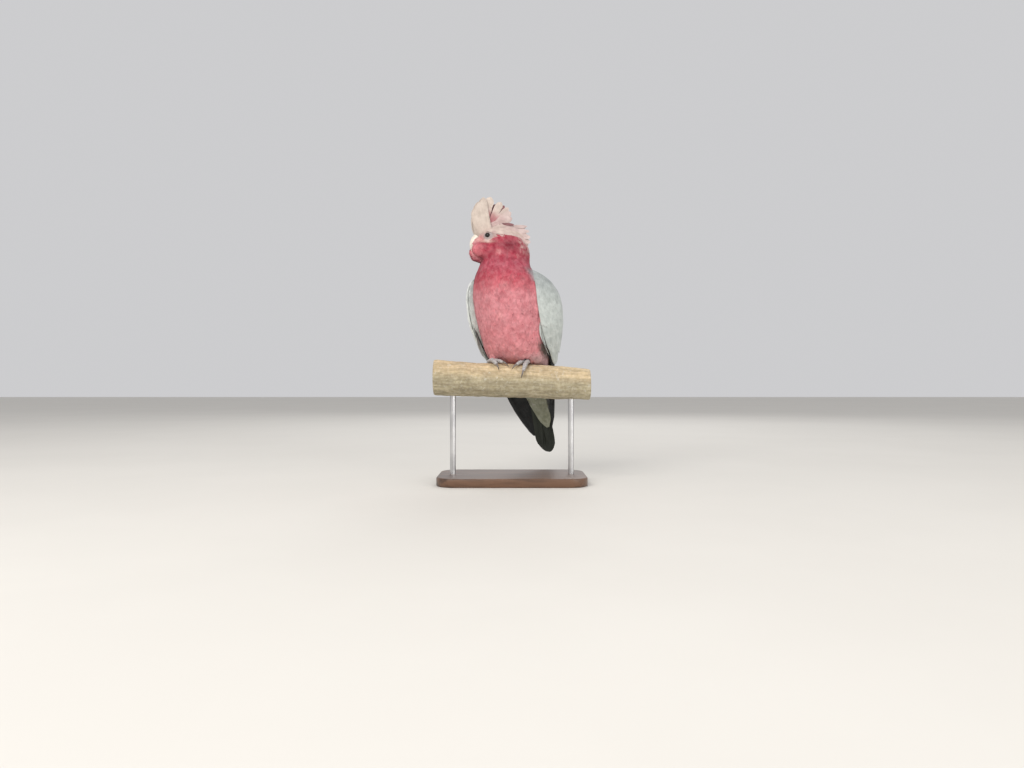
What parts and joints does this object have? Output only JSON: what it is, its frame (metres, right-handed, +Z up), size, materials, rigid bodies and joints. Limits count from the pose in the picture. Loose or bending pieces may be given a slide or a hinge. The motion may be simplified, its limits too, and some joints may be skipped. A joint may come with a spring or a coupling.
{
  "type": "galah on a perch stand",
  "caption": "Life-size galah, a pink and grey cockatoo with its crest raised, perched on a cut length of branch held by rods on a flat base.",
  "frame": {"origin": "centre of the stand base's underside", "axes": "+Z up; -Y is the side the bird's breast faces, turned 30 degrees towards -X; the branch runs along X"},
  "size_m": [0.216, 0.1659, 0.3935],
  "materials": {
    "rose_feathers": "soft short feathers",
    "crest_feathers": "soft broad feathers",
    "grey_feathers": "close smooth feathers",
    "tail_feathers": "stiff smooth feathers",
    "bill_horn": "satin horn",
    "eye": "wet gloss",
    "foot_skin": "dry scaly skin",
    "claw_horn": "satin horn",
    "bark": "weathered rough",
    "stand_wood": "satin lacquer",
    "stand_steel": "brushed"
  },
  "bodies": {
    "root": {"bill_lower": "bill_horn", "bill_upper": "bill_horn", "claw_left_1": "claw_horn", "claw_left_2": "claw_horn", "claw_left_3": "claw_horn", "claw_left_4": "claw_horn", "claw_right_1": "claw_horn", "claw_right_2": "claw_horn", "claw_right_3": "claw_horn", "claw_right_4": "claw_horn", "crest": "crest_feathers", "eye_left": "eye", "eye_right": "eye", "foot_left": "foot_skin", "foot_right": "foot_skin", "head": "rose_feathers", "leg_left": "rose_feathers", "leg_right": "rose_feathers", "neck": "rose_feathers", "perch": "bark", "stand_base": "stand_wood", "stand_rod_left": "stand_steel", "stand_rod_right": "stand_steel", "tail": "tail_feathers", "trunk": "rose_feathers", "undertail": "grey_feathers", "wing_left": "grey_feathers", "wing_right": "grey_feathers"}
  },
  "joints": []
}
